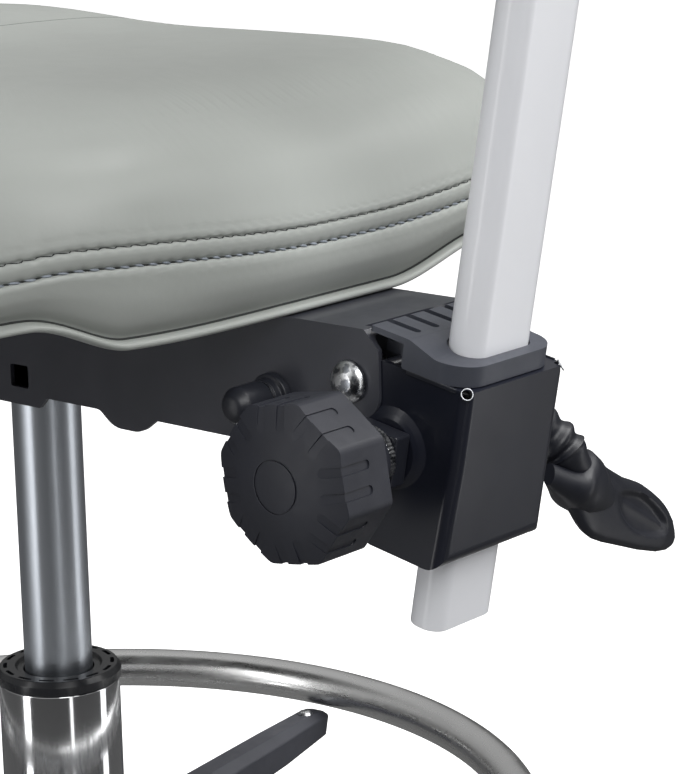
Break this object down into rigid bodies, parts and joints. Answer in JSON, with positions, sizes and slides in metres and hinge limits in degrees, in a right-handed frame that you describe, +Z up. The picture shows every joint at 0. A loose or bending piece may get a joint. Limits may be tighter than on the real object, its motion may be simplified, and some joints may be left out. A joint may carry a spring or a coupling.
{
  "type": "dentist stool",
  "caption": "Gas-lift stool on a five-arm castor base, with a foot ring, padded seat and a backrest on a clamped, leaning bar.",
  "frame": {"origin": "on the floor, under the axis of the gas column, at the centre of the footprint", "axes": "+Z up, +Y to the rear where the backrest stands, +X to the side of the clamp knob"},
  "size_m": [0.5604, 0.5757, 0.931],
  "materials": {
    "chrome": "mirror-bright plating with faint polishing lines",
    "polished_aluminium": "polished die casting",
    "steel": "ground satin steel",
    "zinc": "bright zinc plating",
    "black_paint": "semi-gloss black powder coat",
    "white_paint": "smooth light grey-white powder coat",
    "black_plastic": "moulded black nylon",
    "dark_plastic": "fine-textured charcoal plastic",
    "white_plastic": "light grey moulded plastic",
    "wheel_rubber": "soft grey-black tread",
    "leather": "smooth grey-green upholstery leather, satin",
    "wood": "plywood"
  },
  "bodies": {
    "base": {"star_base": "polished_aluminium", "column_tube": "chrome", "column_cap": "black_plastic", "column_bush": "black_plastic", "thrust_bearing": "steel"},
    "castor_1": {"castor_1_housing": "black_plastic"},
    "castor_1_rollers": {"castor_1_axle": "zinc", "castor_1_wheel_left": "wheel_rubber", "castor_1_wheel_right": "wheel_rubber"},
    "castor_2": {"castor_2_housing": "black_plastic"},
    "castor_2_rollers": {"castor_2_axle": "zinc", "castor_2_wheel_left": "wheel_rubber", "castor_2_wheel_right": "wheel_rubber"},
    "castor_3": {"castor_3_housing": "black_plastic"},
    "castor_3_rollers": {"castor_3_axle": "zinc", "castor_3_wheel_left": "wheel_rubber", "castor_3_wheel_right": "wheel_rubber"},
    "castor_4": {"castor_4_housing": "black_plastic"},
    "castor_4_rollers": {"castor_4_axle": "zinc", "castor_4_wheel_left": "wheel_rubber", "castor_4_wheel_right": "wheel_rubber"},
    "castor_5": {"castor_5_housing": "black_plastic"},
    "castor_5_rollers": {"castor_5_axle": "zinc", "castor_5_wheel_left": "wheel_rubber", "castor_5_wheel_right": "wheel_rubber"},
    "foot_rest": {"foot_ring": "chrome", "ring_spider": "black_plastic"},
    "ring_knob": {"ring_clamp_knob": "black_plastic"},
    "gas_piston": {"piston_rod": "steel", "retaining_clip": "zinc"},
    "seat": {"gas_cylinder": "steel", "taper_hub": "black_paint", "mechanism_channel": "black_paint", "seat_plate": "black_paint", "seat_bolt_1": "zinc", "seat_bolt_2": "zinc", "seat_bolt_3": "zinc", "seat_bolt_4": "zinc", "seat_board": "wood", "seat_cushion": "leather", "pivot_pin": "zinc"},
    "valve": {"valve_pin": "zinc"},
    "height_handle": {"height_lever": "black_plastic"},
    "tilt_handle": {"tilt_lever": "black_plastic", "cross_shaft": "zinc", "shaft_end_cap": "black_plastic"},
    "back_carrier": {"backrest_bracket": "black_paint", "collar_sleeve": "dark_plastic", "clamp_washer": "zinc", "clamp_nut": "black_paint"},
    "bar_clamp": {"clamp_screw": "zinc", "clamp_knob": "dark_plastic"},
    "bar": {"backrest_bar": "white_paint", "bar_end_plug": "white_plastic", "hinge_bracket": "black_paint", "hinge_pin": "zinc"},
    "backrest": {"backrest_shell": "black_plastic", "backrest_pad": "leather"}
  },
  "joints": [
    {"name": "castor_1_swivel", "type": "hinge", "parent": "base", "child": "castor_1", "pos_m": [0, -0.243, 0.065], "axis": [0, 0, 1], "continuous": true},
    {"name": "castor_1_roll", "type": "hinge", "parent": "castor_1", "child": "castor_1_rollers", "pos_m": [0, -0.259, 0.025], "axis": [1, 0, 0], "continuous": true},
    {"name": "castor_2_swivel", "type": "hinge", "parent": "base", "child": "castor_2", "pos_m": [0.23111, -0.07509, 0.065], "axis": [0, 0, 1], "continuous": true},
    {"name": "castor_2_roll", "type": "hinge", "parent": "castor_2", "child": "castor_2_rollers", "pos_m": [0.24632, -0.08003, 0.025], "axis": [0.309, 0.9511, 0], "continuous": true},
    {"name": "castor_3_swivel", "type": "hinge", "parent": "base", "child": "castor_3", "pos_m": [0.14283, 0.19659, 0.065], "axis": [0, 0, 1], "continuous": true},
    {"name": "castor_3_roll", "type": "hinge", "parent": "castor_3", "child": "castor_3_rollers", "pos_m": [0.15224, 0.20953, 0.025], "axis": [-0.809, 0.5878, 0], "continuous": true},
    {"name": "castor_4_swivel", "type": "hinge", "parent": "base", "child": "castor_4", "pos_m": [-0.14283, 0.19659, 0.065], "axis": [0, 0, 1], "continuous": true},
    {"name": "castor_4_roll", "type": "hinge", "parent": "castor_4", "child": "castor_4_rollers", "pos_m": [-0.15224, 0.20953, 0.025], "axis": [-0.809, -0.5878, 0], "continuous": true},
    {"name": "castor_5_swivel", "type": "hinge", "parent": "base", "child": "castor_5", "pos_m": [-0.23111, -0.07509, 0.065], "axis": [0, 0, 1], "continuous": true},
    {"name": "castor_5_roll", "type": "hinge", "parent": "castor_5", "child": "castor_5_rollers", "pos_m": [-0.24632, -0.08003, 0.025], "axis": [0.309, -0.9511, 0], "continuous": true},
    {"name": "foot_ring_height", "type": "slide", "parent": "base", "child": "foot_rest", "axis": [0, 0, 1], "range_m": [-0.06, 0.03]},
    {"name": "ring_knob_turn", "type": "hinge", "parent": "foot_rest", "child": "ring_knob", "pos_m": [0, 0, 0.295], "axis": [-0.7314, -0.682, 0], "range_deg": [0, 540]},
    {"name": "seat_swivel", "type": "hinge", "parent": "base", "child": "gas_piston", "pos_m": [0, 0, 0.3], "axis": [0, 0, 1], "continuous": true},
    {"name": "seat_height", "type": "slide", "parent": "gas_piston", "child": "seat", "axis": [0, 0, 1], "range_m": [-0.1, 0.09]},
    {"name": "height_lever_lift", "type": "hinge", "parent": "seat", "child": "height_handle", "pos_m": [-0.022, 0, 0.55], "axis": [0, 1, 0], "range_deg": [0, 8], "stiffness_Nm_per_rad": 0.6, "springref_deg": -5.73},
    {"name": "valve_press", "type": "slide", "parent": "seat", "child": "valve", "axis": [0, 0, 1], "range_m": [-0.0034, 0]},
    {"name": "tilt_lever_lift", "type": "hinge", "parent": "seat", "child": "tilt_handle", "pos_m": [0, 0.152, 0.533], "axis": [1, 0, 0], "range_deg": [0, 20]},
    {"name": "backrest_recline", "type": "hinge", "parent": "seat", "child": "back_carrier", "pos_m": [0, 0.188, 0.5435], "axis": [-1, 0, 0], "range_deg": [0, 15]},
    {"name": "bar_clamp_turn", "type": "hinge", "parent": "back_carrier", "child": "bar_clamp", "pos_m": [0, 0.20504, 0.52141], "axis": [1, 0, 0], "range_deg": [0, 540]},
    {"name": "backrest_height", "type": "slide", "parent": "back_carrier", "child": "bar", "axis": [0, 0.1788, 0.9839], "range_m": [-0.02, 0.06]},
    {"name": "backrest_angle", "type": "hinge", "parent": "bar", "child": "backrest", "pos_m": [0, 0.2502, 0.82248], "axis": [1, 0, 0], "range_deg": [-12, 12]}
  ],
  "couplings": [
    {"joint": "valve_press", "follows": "height_lever_lift", "m_per_rad": -0.0235}
  ]
}
